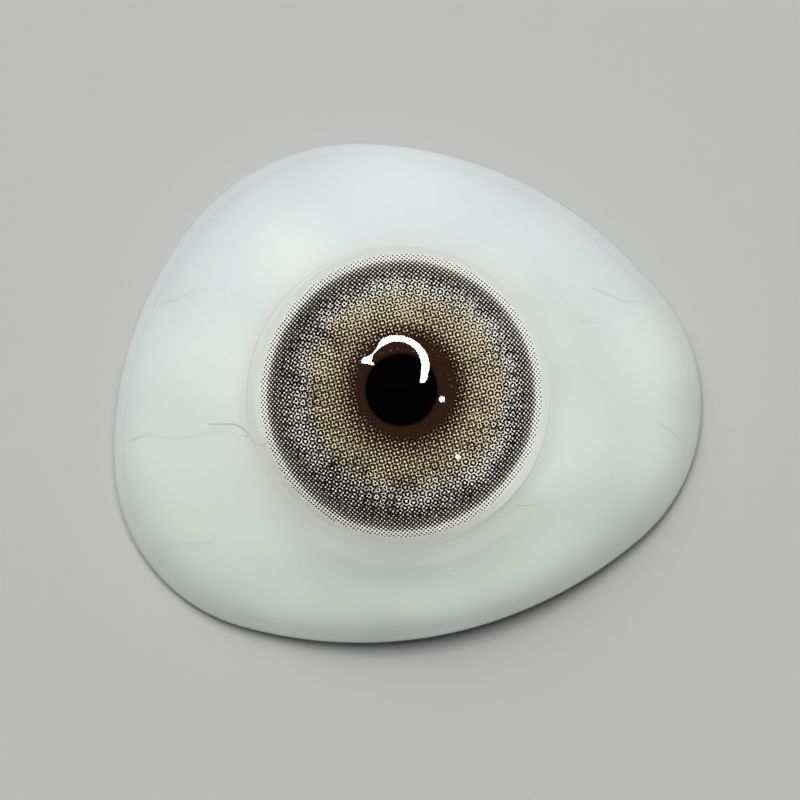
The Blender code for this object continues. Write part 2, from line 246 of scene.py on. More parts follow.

# Soft dark and pale spots on the white, as (x, y, radius, strength) in millimetres from the iris axis. They
# are partly the white's own mottling and partly painted shade and painted light, where the lamps leave the
# shell darker or lighter.
DARK_SPOTS_AND_SHADE = (
    (-4.6, 9.8, 4.4, 0.20),
    (-8.2, 7.6, 3.2, 0.16),
    (4.3, 9.2, 3.4, 0.14),
    (2.4, -7.4, 3.6, 0.14),
    (-2.2, -6.5, 3.2, 0.24),
    (-0.1, -6.5, 2.4, 0.25),
    (-4.2, -4.7, 2.0, 0.22),
    (-0.8, -9.6, 2.0, 0.20),
    (8.6, -4.6, 2.6, 0.12),
    (-5.6, -7.4, 2.6, 0.06),
    (-9.6, 4.2, 2.8, 0.14),
    (-9.8, -0.4, 2.8, 0.07),
    (-5.2, -3.6, 2.0, 0.08),
)
PALE_SPOTS_AND_LIGHT = (
    (6.5, -1.7, 3.2, 1.0),
    (-5.4, -9.7, 2.8, 0.70),
    (-11.8, -2.2, 2.2, 0.34),
    (-5.8, -6.0, 2.4, 0.16),
    (-4.4, 5.6, 2.8, 0.75),
    (-6.7, 1.2, 3.2, 0.62),
    (4.0, 5.0, 2.0, 0.35),
    (5.5, -3.0, 2.0, 0.75),
    (5.9, 1.9, 1.9, 0.45),
    (11.2, 1.6, 3.6, 0.9),
    (11.4, -2.6, 3.0, 0.9),
    (2.4, -10.0, 1.8, 0.60),
)

# The faint line where the clear margin of the film ends, in millimetres from the iris axis, and the way
# to the side where it is plainest
SEAM_CENTRE = (-0.17, -0.11)
SEAM_RADIUS = 6.12
SEAM_PLAIN_WAY = (0.82, -0.57)
SEAM_STRENGTH_STEP = (0.55, 0.98, 0.08, 0.34)
SEAM_LINE_STEP = (0.01, 0.05, 1.0, 0.0)
SEAM_TINT = (0.66, 0.64, 0.61)

# The print by radius, up to PRINT_TOP: how much of the film the black, the brown and the grey ink cover,
# and the colour of the film under them
PRINT_TOP = 6.0
COVERAGE_STOPS = (
    (0.0, (0.05, 0.99, 0.05)),
    (1.82, (0.05, 0.99, 0.10)),
    (1.97, (0.40, 0.84, 0.32)),
    (2.24, (0.41, 0.65, 0.32)),
    (2.60, (0.33, 0.54, 0.27)),
    (2.90, (0.33, 0.52, 0.28)),
    (3.65, (0.405, 0.44, 0.355)),
    (4.10, (0.455, 0.35, 0.365)),
    (4.42, (0.54, 0.31, 0.37)),
    (4.65, (0.66, 0.29, 0.33)),
    (4.88, (0.72, 0.21, 0.22)),
    (5.10, (0.71, 0.11, 0.11)),
    (5.27, (0.58, 0.04, 0.04)),
    (5.40, (0.40, 0.00, 0.00)),
    (5.50, (0.385, 0.00, 0.00)),
    (5.62, (0.37, 0.00, 0.00)),
    (5.665, (0.00, 0.00, 0.00)),
)
PAPER_STOPS = (
    (0.0, (0.42, 0.40, 0.36)),
    (1.86, (0.42, 0.40, 0.36)),
    (2.04, (0.82, 0.73, 0.54)),
    (2.60, (0.85, 0.76, 0.52)),
    (3.10, (0.85, 0.76, 0.52)),
    (3.55, (0.84, 0.785, 0.60)),
    (4.05, (0.91, 0.93, 0.835)),
    (4.45, (0.94, 0.96, 0.89)),
    (4.75, (0.92, 0.90, 0.82)),
    (4.95, (0.87, 0.83, 0.74)),
    (5.25, (0.90, 0.88, 0.81)),
    (5.42, (0.965, 0.985, 0.93)),
    (5.59, (0.90, 0.935, 0.88)),
    (5.70, (0.73, 0.775, 0.73)),
    (5.85, (0.71, 0.76, 0.72)),
)
BLACK_INK = (0.0080, 0.0038, 0.0018)
BROWN_INK = (0.084, 0.0395, 0.0245)
GREY_INK = (0.058, 0.052, 0.042)

# Dot screens, as (direction in degrees, phase, pitch in millimetres)
BLACK_SCREEN = (51.0, 0.0, 0.13095)
BROWN_SCREEN = (16.8, 0.7, 0.1377)
GREY_SCREEN = (79.0, 1.9, 0.1377)
DOT_SOFTNESS = 0.07

# Streaks of the print, as (features per radian, features per millimetre outwards, detail, strength)
FINE_STREAKS = (26.0, 1.6, 1.0, 0.13)
BROAD_STREAKS = (9.0, 1.1, 2.0, 0.10)
WIDE_PATCHES = (2.6, 0.9, 1.0, 0.12)
EDGE_RAGGEDNESS = 0.22
STREAKS_FADE_IN = (2.3, 3.2)
STREAKS_FADE_OUT = (4.2, 5.2, 1.0, 0.3)
BROWN_STREAK_SHARE = 0.6

# How the print departs from a true circle: the brown zone and the edge are off the middle, and the edge is
# a little oval. ZONE_STEP goes from the brown zone's middle to the edge's. Ways are unit vectors.
BROWN_ZONE_SHIFT = (0.13, 0.28)
ZONE_STEP = (1.9, 3.2)
EDGE_SHIFT = (0.055, 0.030)
EDGE_OVAL = 0.037
NARROW_WAY = (-0.94, 0.34)
EDGE_SHAPE_STEP = (4.8, 5.4)

# How the print leans to one side: towards PALE_WAY it has less ink, a film colour from further in and
# pinholes in the brown. Its clear margin carries painted shade towards SHADED_WAY, the side away from the
# lamps.
PALE_WAY = (0.72, 0.69)
LEAN_FADE_IN = (2.3, 3.9, 0.0, -0.072)
LEAN_FADE_OUT = (3.7, 4.4, 1.0, 0.55)
WARMTH_FADE_IN = (2.2, 3.2)
WARMTH_FADE_OUT = (3.6, 4.6, -0.28, 0.0)
PINHOLE_NOISE = (8.0, 1.0)
PINHOLE_STEP = (0.15, 0.6, 0.0, -0.16)
PINHOLE_SIDE_STEP = (-0.2, 0.6)
SHADED_WAY = (-0.26, -0.97)
MARGIN_STEP = (5.2, 5.7)
MARGIN_SIDE_STEP = (0.25, 1.0, 0.0, 0.95)
MARGIN_SHADE = (0.66, 0.65, 0.62)

# Pupil, and how softly the film darkens towards its edge
PUPIL_NOISE = (14.0, 3.0)
PUPIL_DARK = (0.0001, 0.0001, 0.0001)
PUPIL_PALE = (0.0006, 0.0005, 0.0005)
PUPIL_EDGE_STEP = (1.30, 1.47, 0.70, 0.0)

# Threads: noise along and across them, and their colours as (pale, dark)
THREAD_ALONG_NOISE = (1.4, 2.0)
THREAD_ALONG_STEP = (-0.3, 0.3)
THREAD_TWIST_NOISE = (40.0, 1.0)
THREAD_TWIST_STEP = (-0.2, 0.4, 0.0, 0.3)
VEIN_COLOURS = ((0.75, 0.765, 0.76), (0.70, 0.685, 0.69))
HAIR_COLOURS = ((0.60, 0.58, 0.55), (0.42, 0.39, 0.37))

FULL_TURN = 2 * math.pi
MILLIMETRES = 1000.0


def side_centre(first, second, radius):
    """Centre of the wide arc that touches two corner arcs on its inside, anticlockwise."""
    span_x = second[0] - first[0]
    span_y = second[1] - first[1]
    span = math.hypot(span_x, span_y)
    reach_first = radius - first[2]
    reach_second = radius - second[2]
    along = (span ** 2 + reach_first ** 2 - reach_second ** 2) / (2 * span)
    across = math.sqrt(reach_first ** 2 - along ** 2)
    unit_x = span_x / span
    unit_y = span_y / span
    return (first[0] + unit_x * along - unit_y * across, first[1] + unit_y * along + unit_x * across)


def outline_arcs():
    """The outline as (centre x, centre y, radius, first normal, last normal), anticlockwise."""
    corners = (NARROW_END, UPPER_CORNER, LOWER_CORNER)
    arcs = []
    for index, corner in enumerate(corners):
        following = corners[(index + 1) % 3]
        centre = side_centre(corner, following, SIDE_RADII[index])
        leaves = math.atan2(corner[1] - centre[1], corner[0] - centre[0]) % FULL_TURN
        meets = math.atan2(following[1] - centre[1], following[0] - centre[0]) % FULL_TURN
        arcs.append([*corner, None, leaves])
        arcs.append([*centre, SIDE_RADII[index], leaves, meets])
    for index in (0, 2, 4):
        arcs[index][3] = arcs[index - 1][4]
    middle_x = (normal_point(arcs, 0)[0] + normal_point(arcs, math.pi)[0]) / 2
    middle_y = (normal_point(arcs, math.pi / 2)[1] + normal_point(arcs, 3 * math.pi / 2)[1]) / 2
    return [(arc[0] - middle_x, arc[1] - middle_y, *arc[2:]) for arc in arcs]


def in_span(angle, first, last):
    return (angle - first) % FULL_TURN <= (last - first) % FULL_TURN


def normal_point(arcs, normal):
    """The outline's point whose outward normal has this direction."""
    arc = next(arc for arc in arcs if in_span(normal, arc[3], arc[4]))
    return (arc[0] + arc[2] * math.cos(normal), arc[1] + arc[2] * math.sin(normal))


ARCS = outline_arcs()


def edge_towards(azimuth):
    """Distance from the iris axis to the outline in a direction."""
    unit_x = math.cos(azimuth)
    unit_y = math.sin(azimuth)
    best = None
    for centre_x, centre_y, radius, first, last in ARCS:
        gap_x = centre_x - IRIS_AXIS_X
        gap_y = centre_y - IRIS_AXIS_Y
        along = gap_x * unit_x + gap_y * unit_y
        across = gap_x * unit_y - gap_y * unit_x
        distance = along + math.sqrt(radius ** 2 - across ** 2)
        normal = math.atan2(IRIS_AXIS_Y + distance * unit_y - centre_y,
                            IRIS_AXIS_X + distance * unit_x - centre_x) % FULL_TURN
        outside = min((first - normal) % FULL_TURN, (normal - last) % FULL_TURN)
        miss = 0.0 if in_span(normal, first, last) else outside
        if best is None or miss < best[0]:
            best = (miss, distance)
    return best[1]


def rim_lift(azimuth):
    """Height of the rim's lowest line, from each foot or arch to the next with level ends."""
    azimuth %= FULL_TURN
    for (start, low), (end, high) in zip(RIM_STOPS, RIM_STOPS[1:]):
        if azimuth <= end:
            share = (1 - math.cos(math.pi * (azimuth - start) / (end - start))) / 2
            return low + (high - low) * share
    return 0.0


class Meridian:
    """One radial section of the shell, from the iris axis to the rim."""

    def __init__(self, azimuth):
        self.azimuth = azimuth
        reach = edge_towards(azimuth)
        self.rim_r = reach - RIM_RADIUS
        self.rim_z = rim_lift(azimuth) + RIM_RADIUS
        self.front_r = self.rim_r + RIM_RADIUS * math.sin(RIM_SLOPE)
        self.front_z = self.rim_z + RIM_RADIUS * math.cos(RIM_SLOPE)
        self.clear_edge = reach - CLEAR_EDGE_SETBACK
        self.vault_slope = 0.0
        for _ in range(TANGENT_PASSES):
            start_r, start_z = self.rim(math.pi + self.vault_slope)
            self.vault_slope = math.atan(2 * (VAULT_HEIGHT - start_z) / start_r)

    def point(self, radius, height):
        return (IRIS_AXIS_X + radius * math.cos(self.azimuth),
                IRIS_AXIS_Y + radius * math.sin(self.azimuth), height)

    def outer(self, radius):
        """Height and downward gradient of the outer face."""
        edge_drop = CORNEA_RADIUS - math.sqrt(CORNEA_RADIUS ** 2 - CORNEA_EDGE ** 2)
        edge_gradient = CORNEA_EDGE / math.sqrt(CORNEA_RADIUS ** 2 - CORNEA_EDGE ** 2)
        limbus_gradient = math.tan(LIMBUS_SLOPE)
        if radius <= CORNEA_EDGE:
            root = math.sqrt(CORNEA_RADIUS ** 2 - radius ** 2)
            return TOTAL_HEIGHT - CORNEA_RADIUS + root, radius / root
        width = LIMBUS_EDGE - CORNEA_EDGE
        if radius <= LIMBUS_EDGE:
            step = radius - CORNEA_EDGE
            change = (limbus_gradient - edge_gradient) * step / width
            return TOTAL_HEIGHT - edge_drop - step * (edge_gradient + change / 2), edge_gradient + change
        start = TOTAL_HEIGHT - edge_drop - width * (edge_gradient + limbus_gradient) / 2
        span = self.front_r - LIMBUS_EDGE
        t = (radius - LIMBUS_EDGE) / span
        fall = start - self.front_z
        first = limbus_gradient * span
        last = math.tan(RIM_SLOPE) * span
        square = 3 * fall - 2 * first - last
        cube = first + last - 2 * fall
        height = start - t * (first + t * (square + t * cube))
        return height, (first + t * (2 * square + t * 3 * cube)) / span

    def white(self, radius, sink=0.0):
        """Height of the white under the clear front, or of what lies deeper by sink."""
        wall_height, wall_gradient = self.outer(POCKET_WALL)
        recess = (wall_height - FILM_TOP) / math.sqrt(1 + wall_gradient ** 2)
        height, gradient = self.outer(radius)
        share = max(0.0, (radius - LIMBUS_EDGE) / (self.clear_edge - LIMBUS_EDGE))
        return height - (recess * (1 - share ** 2) ** 2 + sink) * math.sqrt(1 + gradient ** 2)

    def rim(self, slope):
        """The rounded rim's point whose normal leans this far from straight up."""
        return self.rim_r + RIM_RADIUS * math.sin(slope), self.rim_z + RIM_RADIUS * math.cos(slope)

    def vault(self, share):
        """The hollow back: a parabola, level over the iris axis, that leaves the rim on its tangent."""
        start_r, start_z = self.rim(math.pi + self.vault_slope)
        return start_r * share, VAULT_HEIGHT - (VAULT_HEIGHT - start_z) * share ** 2


def evenly(first, last, count):
    """count values after first, up to and including last."""
    return [first + (last - first) * (index + 1) / count for index in range(count)]


def white_section(meridian):
    """White body: pocket floor and wall, front, rim and vault, as (radius, height)."""
    section = [(radius, FILM_LOW.z) for radius in evenly(0.0, POCKET_WALL, FLOOR_RINGS)]
    rings = [POCKET_WALL] + evenly(POCKET_WALL, LIMBUS_EDGE, LIMBUS_RINGS)
    rings += evenly(LIMBUS_EDGE, meridian.clear_edge, SCLERA_RINGS)
    section += [(radius, meridian.white(radius)) for radius in rings]
    for radius in evenly(meridian.clear_edge, meridian.front_r, LIP_RINGS):
        section.append((radius, meridian.outer(radius)[0]))
    for slope in evenly(RIM_SLOPE, math.pi + meridian.vault_slope, RIM_RINGS):
        section.append(meridian.rim(slope))
    for share in evenly(1.0, 1.0 / VAULT_RINGS, VAULT_RINGS - 1):
        section.append(meridian.vault(share))
    return section


def clear_section(meridian):
    """Clear front: outer face from the cornea to the lip, then its inner face, sunk into the white."""
    rings = evenly(0.0, CORNEA_EDGE, CORNEA_RINGS) + evenly(CORNEA_EDGE, LIMBUS_EDGE, LIMBUS_RINGS)
    rings += evenly(LIMBUS_EDGE, meridian.clear_edge, SCLERA_RINGS)
    section = [(radius, meridian.outer(radius)[0]) for radius in rings]
    wall = POCKET_WALL + CLEAR_SINK
    inner = [wall] + evenly(wall, LIMBUS_EDGE, LIMBUS_RINGS)
    inner += evenly(LIMBUS_EDGE, meridian.clear_edge, SCLERA_RINGS)
    for radius in reversed(inner):
        section.append((radius, meridian.white(radius, CLEAR_SINK)))
    section.append((wall, FILM_LOW.z - CLEAR_SINK))
    return section


def section_azimuths():
    """Directions from the iris axis to points of the outline whose normals are evenly spaced."""
    azimuths = []
    for index in range(MERIDIANS):
        x, y = normal_point(ARCS, FULL_TURN * index / MERIDIANS)
        azimuths.append(math.atan2(y - IRIS_AXIS_Y, x - IRIS_AXIS_X))
    return azimuths


def add_skin(shape, columns, start, end):
    """Faces over a ring of columns of vertices, closed by one vertex at each end.

    They face out where the columns run anticlockwise, seen from the start, and in where they don't.
    """
    for column, following in zip(columns, columns[1:] + columns[:1]):
        shape.faces.new((start, column[0], following[0]))
        for ring in range(len(column) - 1):
            shape.faces.new((column[ring], column[ring + 1], following[ring + 1], following[ring]))
        shape.faces.new((column[-1], end, following[-1]))


def loft(section, start_height, end_height):
    """A closed solid through one section per meridian, closed by a point on the axis at each end."""
    shape = bmesh.new()
    columns = []
    for azimuth in section_azimuths():
        meridian = Meridian(azimuth)
        columns.append([shape.verts.new(meridian.point(*place)) for place in section(meridian)])
    start = shape.verts.new((IRIS_AXIS_X, IRIS_AXIS_Y, start_height))
    end = shape.verts.new((IRIS_AXIS_X, IRIS_AXIS_Y, end_height))
    add_skin(shape, columns, start, end)
    bmesh.ops.recalc_face_normals(shape, faces=shape.faces)
    return shape


def mark_bare(shape):
    """The layer bare is 1 on the vertices of the white that lie past the lip of the clear front."""
    bare = shape.verts.layers.float.new("bare")
    column_length = (len(shape.verts) - 2) // MERIDIANS
    for index, vertex in enumerate(shape.verts):
        if index % column_length >= FIRST_BARE_RING:
            vertex[bare] = 1.0
    shape.verts.ensure_lookup_table()
    shape.verts[-1][bare] = 1.0


def shown(name, shape, material, node):
    """Puts a finished mesh in the scene in the place of a node of the model."""
    mesh = bpy.data.meshes.new(name)
    shape.to_mesh(mesh)
    shape.free()
    mesh.shade_smooth()
    mesh.set_sharp_from_angle(angle=SHARP_ANGLE)
    mesh.materials.append(material)
    piece = bpy.data.objects.new(name, mesh)
    bpy.context.collection.objects.link(piece)
    stand_in(piece, node)
    return piece


def stand_in(piece, node):
    """Lets a piece ride the body in a node's place, and hides the node."""
    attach(piece, "root")
    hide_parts(node)


def add_bubbles(shape):
    """Round voids in the clear front: spheres whose faces point in, as their columns run clockwise."""
    for x, y, depth, radius in BUBBLES:
        meridian = Meridian(math.atan2(y - IRIS_AXIS_Y, x - IRIS_AXIS_X))
        centre_z = meridian.outer(math.hypot(x - IRIS_AXIS_X, y - IRIS_AXIS_Y))[0] - depth
        columns = []
        for segment in range(BUBBLE_SEGMENTS):
            turn = -FULL_TURN * segment / BUBBLE_SEGMENTS
            column = []
            for ring in range(1, BUBBLE_RINGS):
                lean = math.pi * ring / BUBBLE_RINGS
                reach = radius * math.sin(lean)
                column.append(shape.verts.new((x + reach * math.cos(turn), y + reach * math.sin(turn),
                                               centre_z + radius * math.cos(lean))))
            columns.append(column)
        top = shape.verts.new((x, y, centre_z + radius))
        bottom = shape.verts.new((x, y, centre_z - radius))
        add_skin(shape, columns, top, bottom)


def smooth_route(points, steps):
    """Points along a smooth curve through the given ones."""
    padded = [points[0], *points, points[-1]]
    route = []
    for before, start, end, after in zip(padded, padded[1:], padded[2:], padded[3:]):
        for step in range(steps):
            t = step / steps
            place = []
            for a, b, c, d in zip(before, start, end, after):
                place.append(b + t * ((c - a) + t * ((2 * a - 5 * b + 4 * c - d)
                                                    + t * (3 * b - a - 3 * c + d))) / 2)
            route.append(tuple(place))
    route.append(points[-1])
    return route


def vein(number, points, material):
    """A tapering thread half sunk in the white body's front."""
    curve = bpy.data.curves.new(f"vein_{number}", "CURVE")
    curve.dimensions = "3D"
    curve.bevel_depth = 1.0
    curve.bevel_resolution = THREAD_BEVEL_STEPS
    curve.use_fill_caps = True
    route = smooth_route(points, THREAD_STEPS)
    spline = curve.splines.new("POLY")
    spline.points.add(len(route) - 1)
    for index, (knot, (degrees, share)) in enumerate(zip(spline.points, route)):
        meridian = Meridian(math.radians(degrees))
        radius = POCKET_RADIUS + (meridian.clear_edge - POCKET_RADIUS) * share
        knot.co = (*meridian.point(radius, meridian.white(radius)), 1.0)
        along = index / (len(route) - 1)
        knot.radius = THREAD_RADIUS + (THREAD_TIP_RADIUS - THREAD_RADIUS) * along ** 2
    curve.materials.append(material)
    piece = bpy.data.objects.new(f"vein_{number}", curve)
    bpy.context.collection.objects.link(piece)
    stand_in(piece, f"vein_thread_{number}")


class Graph:
    """One material, with short calls for its nodes. Each call gives the node's output."""

    def __init__(self, name):
        self.material = bpy.data.materials.new(name)
        self.material.use_nodes = True
        self.tree = self.material.node_tree
        self.shader = self.tree.nodes["Principled BSDF"]

    def put(self, value, socket):
        if isinstance(value, bpy.types.NodeSocket):
            self.tree.links.new(value, socket)
        else:
            socket.default_value = value

    def set(self, **values):
        """Sets the shader's sockets. A name's underscores stand for spaces."""
        for name, value in values.items():
            self.put(value, self.shader.inputs[name.replace("_", " ")])

    def place(self, x=0.0, y=0.0):
        """Position on the object in millimetres, from the given point."""
        coordinates = self.tree.nodes.new("ShaderNodeTexCoord").outputs["Object"]
        return self.scaled(self.vector("SUBTRACT", coordinates, (x, y, 0.0)), MILLIMETRES)

    def vector(self, operation, first, second=(0.0, 0.0, 0.0)):
        node = self.tree.nodes.new("ShaderNodeVectorMath")
        node.operation = operation
        self.put(first, node.inputs[0])
        self.put(second, node.inputs[1])
        return node.outputs["Value" if operation in ("LENGTH", "DOT_PRODUCT") else "Vector"]

    def scaled(self, place, factor):
        return self.vector("MULTIPLY", place, (factor, factor, factor))

    def math(self, operation, first, second=0.0):
        node = self.tree.nodes.new("ShaderNodeMath")
        node.operation = operation
        self.put(first, node.inputs[0])
        self.put(second, node.inputs[1])
        return node.outputs["Value"]

    def total(self, *values):
        result = values[0]
        for value in values[1:]:
            result = self.math("ADD", result, value)
        return result

    def step(self, value, low, high, start=0.0, end=1.0):
        """Goes smoothly from start to end as value goes from low to high."""
        node = self.tree.nodes.new("ShaderNodeMapRange")
        node.interpolation_type = "SMOOTHSTEP"
        for name, given in zip(("Value", "From Min", "From Max", "To Min", "To Max"),
                               (value, low, high, start, end)):
            self.put(given, node.inputs[name])
        return node.outputs["Result"]

    def mix(self, share, first, second, blend="MIX"):
        node = self.tree.nodes.new("ShaderNodeMix")
        node.data_type = "RGBA"
        node.blend_type = blend
        self.put(share, node.inputs["Factor"])
        for given, name in ((first, "A_Color"), (second, "B_Color")):
            socket = next(item for item in node.inputs if item.identifier == name)
            self.put(given if isinstance(given, bpy.types.NodeSocket) else (*given, 1.0), socket)
        return next(item for item in node.outputs if item.identifier == "Result_Color")

    def noise(self, place, scale, detail, roughness=0.5):
        """Noise from -1 to 1, mostly in the middle of that."""
        node = self.tree.nodes.new("ShaderNodeTexNoise")
        self.put(place, node.inputs["Vector"])
        node.inputs["Scale"].default_value = scale
        node.inputs["Detail"].default_value = detail
        node.inputs["Roughness"].default_value = roughness
        return self.math("MULTIPLY", self.math("SUBTRACT", node.outputs["Fac"], 0.5), 2.0)

    def ramp(self, value, top, stops):
        """A colour that follows value, from stops given as (value, colour). top is the ramp's full value."""
        node = self.tree.nodes.new("ShaderNodeValToRGB")
        elements = node.color_ramp.elements
        while len(elements) < len(stops):
            elements.new(0.5)
        for element, (at, colour) in zip(elements, stops):
            element.position = at / top
            element.color = (*colour, 1.0)
        self.put(self.math("DIVIDE", value, top), node.inputs["Fac"])
        return node.outputs["Color"]

    def split(self, colour):
        node = self.tree.nodes.new("ShaderNodeSeparateColor")
        self.put(colour, node.inputs["Color"])
        return [node.outputs[name] for name in ("Red", "Green", "Blue")]

    def bump(self, height, distance, strength):
        """Lets height, in shares of distance, roughen the surface."""
        node = self.tree.nodes.new("ShaderNodeBump")
        node.inputs["Strength"].default_value = strength
        node.inputs["Distance"].default_value = distance
        self.put(height, node.inputs["Height"])
        self.tree.links.new(node.outputs["Normal"], self.shader.inputs["Normal"])


def spot_cover(graph, flat, clouds):
    """How much of each place the given spots cover."""
    covers = []
    for x, y, radius, strength in clouds:
        distance = graph.vector("LENGTH", graph.vector("SUBTRACT", flat, (x, y, 0.0)))
        covers.append(graph.step(distance, 0.0, radius, strength, 0.0))
    return graph.total(*covers)


def film_seam(graph, flat, colour):
    """Adds the film's seam, which is plainest on two opposite sides. It crosses the film and the white."""
    spoke = graph.vector("NORMALIZE", flat)
    facing = graph.math("ABSOLUTE", graph.vector("DOT_PRODUCT", spoke, (*SEAM_PLAIN_WAY, 0.0)))
    strength = graph.step(facing, *SEAM_STRENGTH_STEP)
    distance = graph.vector("LENGTH", graph.vector("SUBTRACT", flat, (*SEAM_CENTRE, 0.0)))
    gap = graph.math("ABSOLUTE", graph.math("SUBTRACT", distance, SEAM_RADIUS))
    line = graph.math("MULTIPLY", graph.step(gap, *SEAM_LINE_STEP), strength)
    return graph.mix(line, colour, SEAM_TINT, "MULTIPLY")


def white_acrylic():
    """Poured white: bluish above, greenish below, cloudy, warmer beside the iris, with painted shade and
    painted light on it: dark and pale spots, partly its own mottling; shade on the warm ring's lower left
    and low down; light on the bare lip.

    Under the clear front it has no gloss of its own.
    """
    graph = Graph("white_acrylic")
    place = graph.place(IRIS_AXIS_X, IRIS_AXIS_Y)
    flat = graph.vector("MULTIPLY", place, (1.0, 1.0, 0.0))
    radius = graph.vector("LENGTH", flat)
    clouds = graph.noise(place, *CLOUD_NOISE)
    patches = graph.noise(graph.vector("ADD", place, PATCH_OFFSET), *PATCH_NOISE)
    grain = graph.noise(place, *GRAIN_NOISE)
    slant = graph.vector("DOT_PRODUCT", place, DRIFT_WAY)
    drift = graph.math("ADD", slant, graph.math("MULTIPLY", clouds, DRIFT_BY_CLOUDS))
    colour = graph.mix(graph.step(drift, *DRIFT_STEP), WHITE_BELOW, WHITE_ABOVE)
    colour = graph.mix(graph.step(patches, *PATCH_STEP), colour, PATCH_WHITE)
    colour = graph.mix(graph.step(grain, *GRAIN_STEP), colour, GRAIN_WHITE)
    # Painted shade and painted light, partly the white's own mottling: the dark and pale spots.
    colour = graph.mix(spot_cover(graph, flat, DARK_SPOTS_AND_SHADE), colour, DARK_SPOT_AND_SHADE_WHITE)
    colour = graph.mix(spot_cover(graph, flat, PALE_SPOTS_AND_LIGHT), colour, PALE_SPOT_AND_LIGHT_WHITE)
    # The warmer white beside the iris: a faint tint all round, darker towards the lower left as painted
    # shade.
    side = graph.vector("DOT_PRODUCT", place, LIMBUS_SHADE_WAY)
    limbus_tint_and_shade = graph.math("MULTIPLY", graph.step(radius, *LIMBUS_RING_STEP), graph.step(side, *LIMBUS_SHADE_SIDE_STEP))
    colour = graph.mix(limbus_tint_and_shade, colour, LIMBUS_TINT_AND_SHADE)
    colour = film_seam(graph, flat, colour)
    # Painted shade: the white gets darker low down, near the floor.
    height = graph.vector("DOT_PRODUCT", place, (0.0, 0.0, 1.0))
    colour = graph.mix(graph.step(height, *LOW_SHADE_STEP), colour, LOW_SHADE_WHITE)
    bare = graph.tree.nodes.new("ShaderNodeAttribute")
    bare.attribute_name = "bare"
    gloss = graph.math("MULTIPLY", bare.outputs["Fac"], LIP_GLOSS)
    # Painted light: the bare lip past the clear front is lighter.
    colour = graph.mix(graph.math("MULTIPLY", bare.outputs["Fac"], LIP_LIGHT_SHARE), colour, LIP_LIGHT_WHITE)
    graph.set(Base_Color=colour, Roughness=graph.step(clouds, *WHITE_ROUGHNESS_STEP), IOR=ACRYLIC_IOR,
              Specular_IOR_Level=gloss, Subsurface_Weight=graph.step(radius, *SCATTER_STEP),
              Subsurface_Radius=SCATTER_REACH, Subsurface_Scale=SCATTER_SCALE)
    graph.bump(graph.noise(place, *WHITE_WAVE_NOISE), *WHITE_WAVE_BUMP)
    return graph.material


def dot_screen(graph, place, cover, screen):
    """Ink of one halftone screen: round dots that grow with cover until they leave round holes."""
    degrees, phase, pitch = screen
    waves = []
    for turn in (0.0, math.pi / 2):
        angle = math.radians(degrees) + turn
        pace = FULL_TURN / pitch
        across = graph.vector("DOT_PRODUCT", place, (pace * math.cos(angle), pace * math.sin(angle), 0.0))
        waves.append(graph.math("COSINE", graph.math("ADD", across, phase)))
    level = graph.math("MULTIPLY", graph.total(*waves), 0.5)
    reach = 1.0 + DOT_SOFTNESS
    limit = graph.math("SUBTRACT", reach, graph.math("MULTIPLY", cover, 2 * reach))
    return graph.step(level, graph.math("SUBTRACT", limit, DOT_SOFTNESS),
                      graph.math("ADD", limit, DOT_SOFTNESS))


def streaks(graph, spoke, radius, around, outwards, detail):
    """Noise that runs along the radius."""
    lift = graph.tree.nodes.new("ShaderNodeCombineXYZ")
    graph.put(radius, lift.inputs["Z"])
    rise = graph.scaled(lift.outputs["Vector"], outwards)
    return graph.noise(graph.vector("ADD", graph.scaled(spoke, around), rise), 1.0, detail)


def print_tone(graph, spoke, radius, body, broad, lean):
    """Ink that the streaks and the lean to one side add to each place, or take from it."""
    fine = graph.math("MULTIPLY", streaks(graph, spoke, radius, *FINE_STREAKS[:3]), FINE_STREAKS[3])
    wide = graph.math("MULTIPLY", streaks(graph, spoke, radius, *WIDE_PATCHES[:3]), WIDE_PATCHES[3])
    tone = graph.total(fine, graph.math("MULTIPLY", broad, BROAD_STREAKS[3]), wide)
    leaning = graph.math("MULTIPLY", graph.step(radius, *LEAN_FADE_IN), graph.step(radius, *LEAN_FADE_OUT))
    return graph.math("ADD", graph.math("MULTIPLY", tone, body), graph.math("MULTIPLY", lean, leaning))


def drawn_radius(graph, place, radius, spoke, ragged):
    """The radius at which the print's plan, a true circle, has what lies at each place."""
    inner = graph.vector("LENGTH", graph.vector("SUBTRACT", place, (*BROWN_ZONE_SHIFT, 0.0)))
    narrow = graph.vector("DOT_PRODUCT", spoke, (*NARROW_WAY, 0.0))
    oval = graph.math("SUBTRACT", graph.math("MULTIPLY", graph.math("MULTIPLY", narrow, narrow), 2.0), 1.0)
    edge_move = graph.total(graph.vector("DOT_PRODUCT", spoke, (*EDGE_SHIFT, 0.0)),
                            graph.math("MULTIPLY", oval, EDGE_OVAL))
    shape = graph.math("MULTIPLY", edge_move, graph.step(radius, *EDGE_SHAPE_STEP))
    outer = graph.total(radius, ragged, shape)
    share = graph.step(inner, *ZONE_STEP)
    return graph.math("ADD", inner, graph.math("MULTIPLY", graph.math("SUBTRACT", outer, inner), share))


def ink_covers(graph, place, drawn, tone, lean):
    """How much of each place the black, the brown and the grey ink cover."""
    black, brown, grey = graph.split(graph.ramp(drawn, PRINT_TOP, COVERAGE_STOPS))
    flecks = graph.noise(place, *PINHOLE_NOISE)
    pinholes = graph.math("MULTIPLY", graph.step(flecks, *PINHOLE_STEP),
                          graph.step(lean, *PINHOLE_SIDE_STEP))
    brown_tone = graph.math("MULTIPLY", tone, BROWN_STREAK_SHARE)
    return (graph.math("ADD", black, tone), graph.total(brown, brown_tone, pinholes),
            graph.math("ADD", grey, tone))


